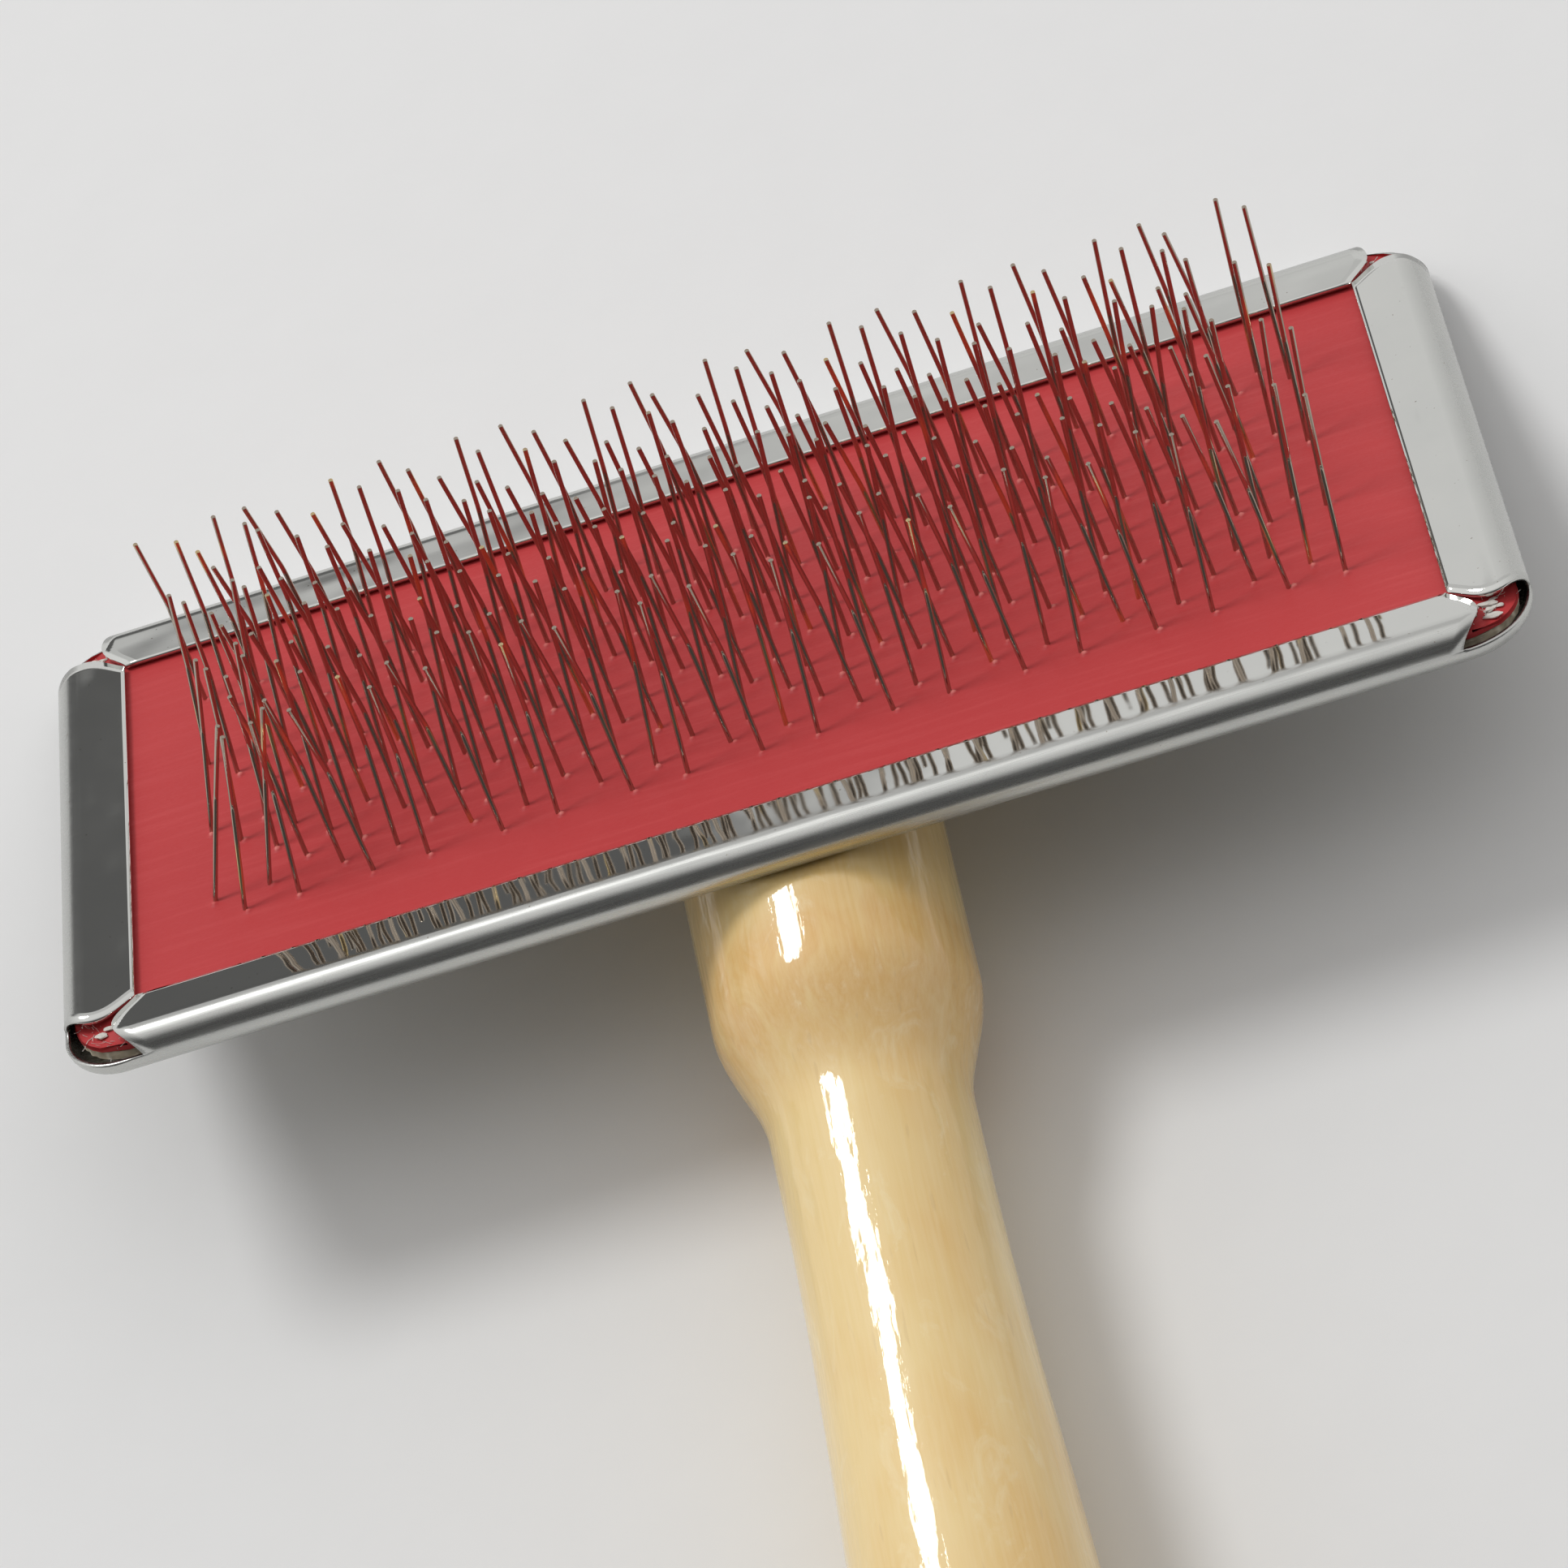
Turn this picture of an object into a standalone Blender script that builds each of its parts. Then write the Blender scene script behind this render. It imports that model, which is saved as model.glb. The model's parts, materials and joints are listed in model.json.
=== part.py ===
"""A slicker brush for grooming dogs and cats, lying on its back with its pins up.

A pressed steel head with four rolled sides grips a red rubber pad. Fourteen rows of bent wire pins
come up through the pad, and a turned wooden handle is tacked on behind at an angle.

Two frames are used. In the head's frame the origin is the centre of the steel back's outer face,
X runs along the head, +Y away from the handle and +Z out through the pad. The handle's frame has
its origin where the handle's axis meets that face, and the handle runs along its -Y.
The finished brush stands on Z = 0 with its origin under the middle of its bounding box.
"""

import math

import bmesh
import bpy
from mathutils import Euler, Vector

MM = 0.001

# Head: one sheet of plated steel, rolled over on four sides and open at its corners.
HEAD_LENGTH = 111.8 * MM
HEAD_WIDTH = 54.2 * MM
WINDOW_LENGTH = 100.0 * MM
WINDOW_WIDTH = 43.2 * MM
SHEET = 0.35 * MM
ROLL_RADIUS = 1.75 * MM
CORNER_RADII = (5.0 * MM, 5.0 * MM, 4.2 * MM, 5.5 * MM)
LIP_DROP = 0.25 * MM
RIM_ANGLE = math.radians(90)
END_BULGE = 1.85 * MM
BULGE_SKEW = 1.15
BULGE_SHARPNESS = 1.3
MITRE_GAP = 0.1 * MM
BOW_AT = 16.0 * MM
SIDE_BOW = 0.05 * MM

# What the head holds, from the back up: felt cushion, cloth foundation, rubber face.
LAYER_GAP = 0.1 * MM
CUSHION_THICKNESS = 0.6 * MM
CUSHION_INSET = 1.6 * MM
FOUNDATION_THICKNESS = 0.7 * MM
FACE_THICKNESS = 0.65 * MM
FACE_INSET = 1.0 * MM
LAYER_CORNERS = (4.0 * MM,) * 4

# Pins: staples of round wire, each with two legs that bend back towards the handle.
WIRE = 0.38 * MM
ROW_COUNT = 14
ROW_PITCH = 2.215 * MM
STAPLE_PITCH = 10.07 * MM
STAPLE_WIDTH = 4.28 * MM
ROW_STAGGER = 2.27 * MM
PIN_FIELD_START = -41.4 * MM
SPLAY = math.radians(4)
EDGE_START = -44.0 * MM
EDGE_REACH = 8.0 * MM
NEAR_EDGE_LEAN = math.radians(28)
FAR_EDGE_LEAN = math.radians(5)
LOWER_LEG = 8.3 * MM
LOWER_LEAN = math.radians(15)
UPPER_LEG = 7.4 * MM
UPPER_LEAN = math.radians(-10)
HOLE = 0.9 * MM
SLOT_WIDTH = 1.0 * MM
SLOT_END = 0.7 * MM
CROWN_DEPTH = 0.15 * MM

# Handle: turned wood, with its front end cut at an angle to lie flat on the steel back.
HANDLE_ANGLE = math.radians(22)
HANDLE_SKEW = math.radians(0.9)
HANDLE_CROSSING = -0.45 * MM
FRONT_RADIUS = 10.05 * MM
NOSE_START = 6.0 * MM
NOSE_LENGTH = 12.0 * MM
SHOULDER_START = 30.5 * MM
SHOULDER_LENGTH = 10.0 * MM
NECK_RADIUS = 7.6 * MM
NECK_END = 46.0 * MM
SWELL_AT = 98.0 * MM
SWELL_RADIUS = 9.2 * MM
DOME_LENGTH = 18.0 * MM
BUTT_RADIUS = 3.0 * MM

# Tacks: two flat-headed steel tacks hold the back of the head to the handle.
TACK_PLACES = {"tack_front": -2.0 * MM, "tack_rear": -18.0 * MM}
TACK_HEAD_RADIUS = 2.5 * MM
TACK_HEAD_THICKNESS = 0.5 * MM
TACK_SHANK_RADIUS = 0.8 * MM
TACK_LENGTH = 9.0 * MM
TACK_POINT = 2.0 * MM
TACK_CLEARANCE = 0.2 * MM

ROUND_STEPS = 24
HOLE_STEPS = 12
CORNER_STEPS = 4
SHARP_ANGLE = math.radians(35)
MERGE = 1e-7

CUSHION_BASE = SHEET + LAYER_GAP
FOUNDATION_BASE = CUSHION_BASE + CUSHION_THICKNESS + LAYER_GAP
FACE_BASE = FOUNDATION_BASE + FOUNDATION_THICKNESS + LAYER_GAP
FACE_TOP = FACE_BASE + FACE_THICKNESS
HINGE_HEIGHT = FACE_BASE + FACE_THICKNESS / 2


def clear_scene():
    for obj in list(bpy.data.objects):
        bpy.data.objects.remove(obj, do_unlink=True)


def make_material(name, colour, roughness, metallic=0.0, coat=0.0):
    material = bpy.data.materials.new(name)
    material.use_nodes = True
    shader = material.node_tree.nodes["Principled BSDF"]
    shader.inputs["Base Color"].default_value = (*colour, 1.0)
    shader.inputs["Roughness"].default_value = roughness
    shader.inputs["Metallic"].default_value = metallic
    shader.inputs["Coat Weight"].default_value = coat
    return material


def make_object(name, bm, parent, material=None):
    """Turns a bmesh into a named object under its frame's empty, with its normals facing out."""
    bmesh.ops.recalc_face_normals(bm, faces=bm.faces)
    mesh = bpy.data.meshes.new(name)
    bm.to_mesh(mesh)
    bm.free()
    obj = bpy.data.objects.new(name, mesh)
    bpy.context.scene.collection.objects.link(obj)
    obj.parent = parent
    if material:
        mesh.materials.append(material)
    return obj


def shade_round(obj):
    obj.data.shade_smooth()
    obj.data.set_sharp_from_angle(angle=SHARP_ANGLE)


def make_frame(name, location, rotation, parent=None):
    frame = bpy.data.objects.new(name, None)
    bpy.context.scene.collection.objects.link(frame)
    frame.location = location
    frame.rotation_euler = rotation
    frame.parent = parent
    return frame


def cut(obj, cutter):
    """Takes one shape out of another. The cutter stays in the scene as a hidden guide."""
    cutter.hide_render = True
    cutter.display_type = "WIRE"
    boolean = obj.modifiers.new("cut " + cutter.name, "BOOLEAN")
    boolean.operation = "DIFFERENCE"
    boolean.solver = "EXACT"
    boolean.object = cutter


def fill_rings(bm, rings):
    """Fills the flat area inside the first ring of verts and outside the others."""
    edges = []
    for ring in rings:
        for pair in zip(ring, ring[1:] + ring[:1]):
            edges.append(bm.edges.get(pair) or bm.edges.new(pair))
    bmesh.ops.triangle_fill(bm, use_beauty=True, edges=edges)


def smooth_step(t):
    t = min(max(t, 0.0), 1.0)
    return t * t * (3 - 2 * t)


def resting_place():
    """Where the head's frame goes, so that the brush stands on Z = 0, centred under its box."""
    roll_centre_y = HEAD_WIDTH / 2 - ROLL_RADIUS
    far_y = (
        roll_centre_y * math.cos(HANDLE_ANGLE)
        + ROLL_RADIUS * math.sin(HANDLE_ANGLE)
        + ROLL_RADIUS
    )
    butt_y = HANDLE_CROSSING * math.cos(HANDLE_ANGLE) - handle_end() * math.cos(HANDLE_SKEW)
    height = FRONT_RADIUS + HANDLE_CROSSING * math.sin(HANDLE_ANGLE)
    return Vector((0, -(far_y + butt_y) / 2, height))


# ---- Head tray ------------------------------------------------------------------------------


def rounded_outline(half_length, half_width, radii):
    """Points round a rectangle with rounded corners, anticlockwise from the top of its right side."""
    points = []
    signs = ((1, 1), (-1, 1), (-1, -1), (1, -1))
    for turn, ((sign_x, sign_y), radius) in enumerate(zip(signs, radii)):
        for step in range(CORNER_STEPS + 1):
            angle = math.pi / 2 * (turn + step / CORNER_STEPS)
            x = sign_x * (half_length - radius) + radius * math.cos(angle)
            y = sign_y * (half_width - radius) + radius * math.sin(angle)
            points.append((x, y))
    return points


def tray_loop(bm, angle):
    """One closed loop of the sheet's outer face, where the roll has turned through this angle.

    The long sides bow out very slightly in the middle.
    """
    outward = ROLL_RADIUS * (math.sin(angle) - 1)
    height = ROLL_RADIUS * (1 - math.cos(angle))
    radii = [radius + outward for radius in CORNER_RADII]
    outline = rounded_outline(HEAD_LENGTH / 2 + outward, HEAD_WIDTH / 2 + outward, radii)
    corners = [outline[i : i + CORNER_STEPS + 1] for i in range(0, len(outline), CORNER_STEPS + 1)]
    bow_y = corners[0][-1][1] + SIDE_BOW
    points = corners[0] + [(BOW_AT, bow_y), (-BOW_AT, bow_y)] + corners[1]
    points += corners[2] + [(-BOW_AT, -bow_y), (BOW_AT, -bow_y)] + corners[3]
    return [bm.verts.new((x, y, height)) for x, y in points]


def side_profile(flange):
    """(outward, height, distance) of a rolled side above its rim, in to its flange's inner edge.

    Outward is measured from the head's outer edge, and distance along the sheet from the rim.
    """
    points = []
    roll_steps = 5
    for step in range(1, roll_steps + 1):
        turned = (math.pi - RIM_ANGLE) * step / roll_steps
        outward = ROLL_RADIUS * (math.sin(RIM_ANGLE + turned) - 1)
        height = ROLL_RADIUS * (1 - math.cos(RIM_ANGLE + turned))
        points.append((outward, height, ROLL_RADIUS * turned))
    outward, height, distance = points[-1]
    flange_steps = 4
    for step in range(1, flange_steps + 1):
        t = step / flange_steps
        points.append((outward - flange * t, height - LIP_DROP * t, distance + flange * t))
    return points


def roll_side(bm, rim, along, across, window, half_width):
    """Carries the sheet on from the rim, round the roll and in over the pad as a flat flange.

    rim holds the verts along this side, along and across are unit vectors, and window is how
    far the pad's opening reaches along and across. Each end bulges past the opening's corner.
    """
    stations = side_profile(half_width - ROLL_RADIUS - window[1])
    full_distance = stations[-1][2]
    previous = rim
    for outward, height, distance in stations:
        turned = math.pi * (distance / full_distance) ** BULGE_SKEW
        swell = END_BULGE * max(math.sin(turned), 0.0) ** BULGE_SHARPNESS
        reach = window[0] - MITRE_GAP + swell
        row = []
        for i, vert in enumerate(previous):
            end = {0: -reach, len(previous) - 1: reach}
            place = end.get(i, vert.co.dot(along))
            point = along * place + across * (half_width + outward)
            point.z = height
            row.append(bm.verts.new(point))
        for i in range(len(row) - 1):
            bm.faces.new((previous[i], previous[i + 1], row[i + 1], row[i]))
        previous = row


def tack_hole(bm, y):
    """A ring of verts on the back's outer face, where a tack goes through."""
    radius = TACK_SHANK_RADIUS + TACK_CLEARANCE
    ring = []
    for step in range(HOLE_STEPS):
        angle = 2 * math.pi * step / HOLE_STEPS
        ring.append(bm.verts.new((radius * math.cos(angle), y + radius * math.sin(angle), 0)))
    return ring


def build_tray(frame, material):
    bm = bmesh.new()
    rim_steps = 4
    loops = [tray_loop(bm, RIM_ANGLE * step / rim_steps) for step in range(rim_steps + 1)]
    for lower, upper in zip(loops, loops[1:]):
        for i in range(len(lower)):
            j = (i + 1) % len(lower)
            bm.faces.new((lower[i], lower[j], upper[j], upper[i]))

    floor = loops[0]
    per_corner = CORNER_STEPS + 1
    far_bow = floor[per_corner : per_corner + 2]
    near_bow = floor[-per_corner - 2 : -per_corner]
    right = floor[:per_corner] + [far_bow[0], near_bow[1]] + floor[-per_corner:]
    left = floor[per_corner + 1 : -per_corner - 1]
    bm.faces.new(reversed(right))
    bm.faces.new(reversed(left))
    middle = [near_bow[1], near_bow[0], far_bow[1], far_bow[0]]
    holes = [tack_hole(bm, place) for place in TACK_PLACES.values()]
    fill_rings(bm, [middle] + holes)

    rim = loops[-1]
    far = rim[per_corner - 1 : per_corner + 3]
    left_side = rim[2 * per_corner + 1 : 2 * per_corner + 3]
    near = rim[-per_corner - 3 : -per_corner + 1]
    right_side = [rim[-1], rim[0]]
    long_window = (WINDOW_LENGTH / 2, WINDOW_WIDTH / 2)
    short_window = (WINDOW_WIDTH / 2, WINDOW_LENGTH / 2)
    x_axis, y_axis = Vector((1, 0, 0)), Vector((0, 1, 0))
    roll_side(bm, far, -x_axis, y_axis, long_window, HEAD_WIDTH / 2)
    roll_side(bm, near, x_axis, -y_axis, long_window, HEAD_WIDTH / 2)
    roll_side(bm, left_side, -y_axis, -x_axis, short_window, HEAD_LENGTH / 2)
    roll_side(bm, right_side, y_axis, x_axis, short_window, HEAD_LENGTH / 2)

    tray = make_object("head_tray", bm, frame, material)
    sheet = tray.modifiers.new("sheet", "SOLIDIFY")
    sheet.thickness = SHEET
    sheet.offset = -1
    sheet.use_even_offset = True
    shade_round(tray)


# ---- Layers inside the head -----------------------------------------------------------------


def slab(name, frame, material, inset, base, thickness, holes):
    """A flat layer with rounded corners and rectangular holes, each (x, y, length, width)."""
    bm = bmesh.new()
    rings = [rounded_outline(HEAD_LENGTH / 2 - inset, HEAD_WIDTH / 2 - inset, LAYER_CORNERS)]
    for x, y, length, width in holes:
        left, right = x - length / 2, x + length / 2
        near, far = y - width / 2, y + width / 2
        rings.append([(left, near), (right, near), (right, far), (left, far)])
    fill_rings(bm, [[bm.verts.new((x, y, base)) for x, y in ring] for ring in rings])
    top = bmesh.ops.extrude_face_region(bm, geom=list(bm.faces))
    moved = [item for item in top["geom"] if isinstance(item, bmesh.types.BMVert)]
    bmesh.ops.translate(bm, verts=moved, vec=(0, 0, thickness))
    return make_object(name, bm, frame, material)


def round_cutter(name, frame, y, radius, base, depth):
    """An upright cylinder on the head's centre line, as a cutter."""
    bm = bmesh.new()
    bmesh.ops.create_cone(
        bm, cap_ends=True, segments=HOLE_STEPS, radius1=radius, radius2=radius, depth=depth
    )
    bmesh.ops.translate(bm, verts=bm.verts, vec=(0, y, base + depth / 2))
    return make_object(name, bm, frame)


def row_y(row):
    return (row - (ROW_COUNT - 1) / 2) * ROW_PITCH


def edge_lean(x, row):
    """How far a pin near the head's -X end leans in. The lean is greatest near the handle."""
    nearness = max(1 - (x - EDGE_START) / EDGE_REACH, 0.0)
    return nearness * (
        NEAR_EDGE_LEAN + (FAR_EDGE_LEAN - NEAR_EDGE_LEAN) * row / (ROW_COUNT - 1)
    )


def row_pins(row):
    """(x, sideways lean) of each pin in a row. The rows repeat in fours."""
    kind = row % 4
    start = PIN_FIELD_START - ROW_STAGGER * (kind % 2)
    staples = 9
    if kind >= 2:
        start += STAPLE_PITCH / 2
        staples = 8
    pins = []
    for staple in range(staples):
        left = start + staple * STAPLE_PITCH
        for x, splay in ((left, -SPLAY), (left + STAPLE_WIDTH, SPLAY)):
            pins.append((x, splay + edge_lean(x, row)))
    return pins


def build_layers(frame, materials):
    pin_holes = []
    slots = []
    for row in range(ROW_COUNT):
        pins = row_pins(row)
        pin_holes += [(x, row_y(row), HOLE, HOLE) for x, _ in pins]
        first, last = pins[0][0], pins[-1][0]
        length = last - first + 2 * SLOT_END
        slots.append(((first + last) / 2, row_y(row), length, SLOT_WIDTH))
    rubber, cloth = materials["rubber"], materials["cloth"]
    slab("pad_face", frame, rubber, FACE_INSET, FACE_BASE, FACE_THICKNESS, pin_holes)
    slab(
        "pad_foundation", frame, cloth, FACE_INSET, FOUNDATION_BASE, FOUNDATION_THICKNESS, slots
    )
    cushion = slab(
        "pad_cushion", frame, materials["felt"], CUSHION_INSET, CUSHION_BASE, CUSHION_THICKNESS, []
    )
    for name, place in TACK_PLACES.items():
        radius = TACK_HEAD_RADIUS + TACK_CLEARANCE
        cut(cushion, round_cutter("cushion_hole_" + name, frame, place, radius, 0, FACE_BASE))


# ---- Pin rows -------------------------------------------------------------------------------


def leaning(side_lean, lean, length):
    return Vector((math.tan(side_lean), math.tan(lean), 1)).normalized() * length


def pin_stations(side_lean):
    """Centres of a pin's knee and tip, measured from its foot on the rubber."""
    knee = leaning(side_lean, LOWER_LEAN, LOWER_LEG)
    return knee, knee + leaning(side_lean, UPPER_LEAN, UPPER_LEG)


def build_pin_row(row, frame, material):
    """One row of staples. Their crowns join into one wire, because the row moves as one piece."""
    name = "pin_row_%02d" % (row + 1)
    origin = Vector((0, row_y(row), HINGE_HEIGHT))
    top = FOUNDATION_BASE + CROWN_DEPTH + WIRE - HINGE_HEIGHT
    half = WIRE / 2
    bm = bmesh.new()
    front, back = [], []
    for x, _ in row_pins(row):
        for side in (-half, half):
            front.append(bm.verts.new((x + side, -half, top)))
            back.append(bm.verts.new((x + side, half, top)))
    for i in range(len(front) - 1):
        bm.faces.new((front[i], front[i + 1], back[i + 1], back[i]))
    feet = [face for i, face in enumerate(bm.faces) if i % 2 == 0]

    below = Vector((0, 0, -WIRE))
    front_low = [bm.verts.new(front[i].co + below) for i in (0, -1)]
    back_low = [bm.verts.new(back[i].co + below) for i in (0, -1)]
    bm.faces.new([front_low[0], front_low[1]] + front[::-1])
    bm.faces.new([back_low[1], back_low[0]] + back)
    bm.faces.new((front_low[0], front[0], back[0], back_low[0]))
    bm.faces.new((front_low[1], back_low[1], back[-1], front[-1]))
    bm.faces.new((front_low[0], back_low[0], back_low[1], front_low[1]))

    foot_height = FACE_TOP - HINGE_HEIGHT
    for face, (x, side_lean) in zip(feet, row_pins(row)):
        knee, tip = pin_stations(side_lean)
        start = Vector((x, 0, top))
        for station in (knee, tip):
            target = Vector((x, 0, foot_height)) + station
            grown = bmesh.ops.extrude_discrete_faces(bm, faces=[face])
            face = grown["faces"][0]
            bmesh.ops.translate(bm, verts=face.verts, vec=target - start)
            start = target

    pins = make_object(name, bm, frame, material)
    pins.location = origin
    return pins


# ---- Handle and tacks -----------------------------------------------------------------------


def handle_end():
    """How far the handle's flat end is from the steel back, along the handle's axis."""
    return SWELL_AT + DOME_LENGTH * math.sqrt(1 - (BUTT_RADIUS / SWELL_RADIUS) ** 2)


def body_radius(distance):
    """The handle's radius at a distance behind the point where its axis meets the steel back."""
    shoulder = smooth_step((distance - SHOULDER_START) / SHOULDER_LENGTH)
    swell = smooth_step((distance - NECK_END) / (SWELL_AT - NECK_END))
    narrowing = (FRONT_RADIUS - NECK_RADIUS) * shoulder
    return FRONT_RADIUS - narrowing + (SWELL_RADIUS - NECK_RADIUS) * swell


def handle_profile():
    """(distance, radius) along the handle from its rounded nose to its flat end."""
    points = []
    nose_steps = 6
    for step in range(nose_steps):
        angle = math.pi / 2 * step / nose_steps
        distance = -NOSE_START - NOSE_LENGTH * math.cos(angle)
        points.append((distance, FRONT_RADIUS * math.sin(angle)))
    points.append((-NOSE_START, FRONT_RADIUS))
    shoulder_steps = 7
    for step in range(shoulder_steps + 1):
        distance = SHOULDER_START + SHOULDER_LENGTH * step / shoulder_steps
        points.append((distance, body_radius(distance)))
    body_steps = 8
    for step in range(body_steps + 1):
        distance = NECK_END + (SWELL_AT - NECK_END) * step / body_steps
        points.append((distance, body_radius(distance)))
    dome_steps = 6
    last_angle = math.acos(BUTT_RADIUS / SWELL_RADIUS)
    for step in range(1, dome_steps + 1):
        angle = last_angle * step / dome_steps
        points.append((SWELL_AT + DOME_LENGTH * math.sin(angle), SWELL_RADIUS * math.cos(angle)))
    points.append((handle_end(), 0.0))
    return points


def turn(profile, axis, across):
    """Spins (distance, radius) points round an axis through the origin, as on a lathe."""
    bm = bmesh.new()
    verts = [bm.verts.new(axis * distance + across * radius) for distance, radius in profile]
    edges = [bm.edges.new(pair) for pair in zip(verts, verts[1:])]
    bmesh.ops.spin(
        bm,
        geom=verts + edges,
        cent=(0, 0, 0),
        axis=axis,
        angle=2 * math.pi,
        steps=ROUND_STEPS,
        use_merge=True,
    )
    bmesh.ops.remove_doubles(bm, verts=bm.verts, dist=MERGE)
    return bm


def build_handle(frame, handle_frame, material):
    bm = turn(handle_profile(), Vector((0, -1, 0)), Vector((0, 0, -1)))
    handle = make_object("handle", bm, handle_frame, material)

    bm = bmesh.new()
    bmesh.ops.create_cube(bm, size=1.0)
    size = Vector((HEAD_WIDTH, HEAD_LENGTH, HEAD_WIDTH))
    bmesh.ops.scale(bm, vec=size, verts=bm.verts)
    bmesh.ops.translate(bm, verts=bm.verts, vec=(0, 0, size.z / 2 - LAYER_GAP))
    bevel = make_object("handle_bevel", bm, frame)
    cut(handle, bevel)
    for name, place in TACK_PLACES.items():
        radius = TACK_SHANK_RADIUS + TACK_CLEARANCE
        depth = TACK_LENGTH + TACK_CLEARANCE
        cut(handle, round_cutter("handle_hole_" + name, frame, place, radius, -depth, depth))
    shade_round(handle)
    return handle


def build_tack(name, place, frame, material):
    head_base = SHEET + LAYER_GAP
    head_top = head_base + TACK_HEAD_THICKNESS
    profile = [
        (-TACK_LENGTH, 0.0),
        (-TACK_LENGTH + TACK_POINT, TACK_SHANK_RADIUS),
        (head_base, TACK_SHANK_RADIUS),
        (head_base, TACK_HEAD_RADIUS),
        (head_top, TACK_HEAD_RADIUS),
        (head_top, 0.0),
    ]
    tack = make_object(name, turn(profile, Vector((0, 0, 1)), Vector((1, 0, 0))), frame, material)
    tack.location = (0, place, 0)
    shade_round(tack)
    return tack


def build_brush():
    clear_scene()
    materials = {
        "steel": make_material("plated_steel", (0.62, 0.62, 0.60), 0.22, metallic=1.0),
        "wire": make_material("spring_wire", (0.50, 0.47, 0.43), 0.25, metallic=1.0),
        "rubber": make_material("red_rubber", (0.52, 0.052, 0.060), 0.55),
        "cloth": make_material("foundation_cloth", (0.55, 0.48, 0.36), 0.9),
        "felt": make_material("white_felt", (0.70, 0.67, 0.60), 0.95),
        "wood": make_material("lacquered_wood", (0.74, 0.55, 0.29), 0.32, coat=0.6),
    }
    head = make_frame("head_frame", resting_place(), Euler((-HANDLE_ANGLE, 0, 0)))
    skew = make_frame("skew_frame", (0, HANDLE_CROSSING, 0), Euler((0, 0, -HANDLE_SKEW)), head)
    handle_frame = make_frame("handle_frame", (0, 0, 0), Euler((HANDLE_ANGLE, 0, 0)), skew)

    build_tray(head, materials["steel"])
    build_layers(head, materials)
    for row in range(ROW_COUNT):
        build_pin_row(row, head, materials["wire"])
    build_handle(head, handle_frame, materials["wood"])
    for name, place in TACK_PLACES.items():
        build_tack(name, place, head, materials["wire"])


build_brush()
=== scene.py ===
import json
import math
import random

import bmesh
import bpy
from mathutils import Euler, Matrix, Vector, noise


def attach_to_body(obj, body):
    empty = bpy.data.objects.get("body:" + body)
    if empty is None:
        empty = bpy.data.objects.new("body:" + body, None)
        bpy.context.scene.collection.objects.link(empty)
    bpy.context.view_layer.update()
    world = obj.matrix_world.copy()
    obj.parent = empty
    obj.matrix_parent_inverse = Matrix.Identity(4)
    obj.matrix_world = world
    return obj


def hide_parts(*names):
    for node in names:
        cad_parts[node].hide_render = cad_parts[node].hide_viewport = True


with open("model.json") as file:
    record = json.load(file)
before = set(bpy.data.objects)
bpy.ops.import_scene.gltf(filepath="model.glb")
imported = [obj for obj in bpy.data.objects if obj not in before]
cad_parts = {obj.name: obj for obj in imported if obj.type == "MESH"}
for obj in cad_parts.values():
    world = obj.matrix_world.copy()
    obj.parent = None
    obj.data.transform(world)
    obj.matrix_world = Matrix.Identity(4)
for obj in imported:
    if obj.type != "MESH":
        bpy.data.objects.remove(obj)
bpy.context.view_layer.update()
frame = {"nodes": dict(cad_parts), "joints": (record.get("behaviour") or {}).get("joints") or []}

MM = 0.001
SEED = 540

# Head, in its own frame: origin on the steel back, X along it, +Y away from the handle, +Z out.
# Its corners' radii run anticlockwise from the right side's far end.
HEAD_LENGTH = 111.8 * MM
HEAD_WIDTH = 54.2 * MM
WINDOW_LENGTH = 100.0 * MM
WINDOW_WIDTH = 43.2 * MM
SHEET = 0.35 * MM
ROLL_RADIUS = 1.75 * MM
CORNER_RADII = (5.0 * MM, 5.0 * MM, 4.2 * MM, 5.5 * MM)
LIP_DROP = 0.25 * MM
END_BULGE = 1.85 * MM
BULGE_SKEW = 1.15
BULGE_SHARPNESS = 1.3
MITRE_GAP = 0.1 * MM

# Pad: felt, cloth and rubber, from the steel back out. A fray is a share of the layer's width.
CUSHION_BASE = 0.45 * MM
CUSHION_THICKNESS = 0.6 * MM
CUSHION_INSET = 1.6 * MM
CUSHION_FRAY = 0.014
FOUNDATION_BASE = 1.15 * MM
FOUNDATION_THICKNESS = 0.7 * MM
FOUNDATION_FRAY = 0.01
FACE_BASE = 1.95 * MM
FACE_TOP = 2.6 * MM
FACE_INSET = 1.0 * MM
LAYER_CORNER = 4.0 * MM
CORNER_DROOP = 0.5 * MM
DROOP_START = 1.0 * MM
DROOP_LENGTH = 3.0 * MM
HINGE_HEIGHT = 2.275 * MM
CROWN_HEIGHT = 1.49 * MM

# Pins, with their leans and the spread of those leans in degrees.
WIRE_RADIUS = 0.19 * MM
CUT_CHAMFER = 0.03 * MM
BEND_REACH = 0.55 * MM
ROW_COUNT = 14
ROW_PITCH = 2.215 * MM
STAPLE_PITCH = 10.07 * MM
STAPLE_WIDTH = 4.28 * MM
ROW_STAGGER = 2.27 * MM
PIN_FIELD_START = -41.4 * MM
SPLAY = 4.0
SIDE_SPREAD = 1.3
LOWER_SPREAD = 0.9
UPPER_SPREAD = 1.2
EDGE_START = -44.0 * MM
EDGE_REACH = 8.0 * MM
NEAR_EDGE_LEAN = 28.0
FAR_EDGE_LEAN = 5.0
LOWER_LEG = 8.3 * MM
LOWER_LEAN = 15.0
UPPER_LEG = 7.4 * MM
UPPER_LEAN = -10.0

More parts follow.
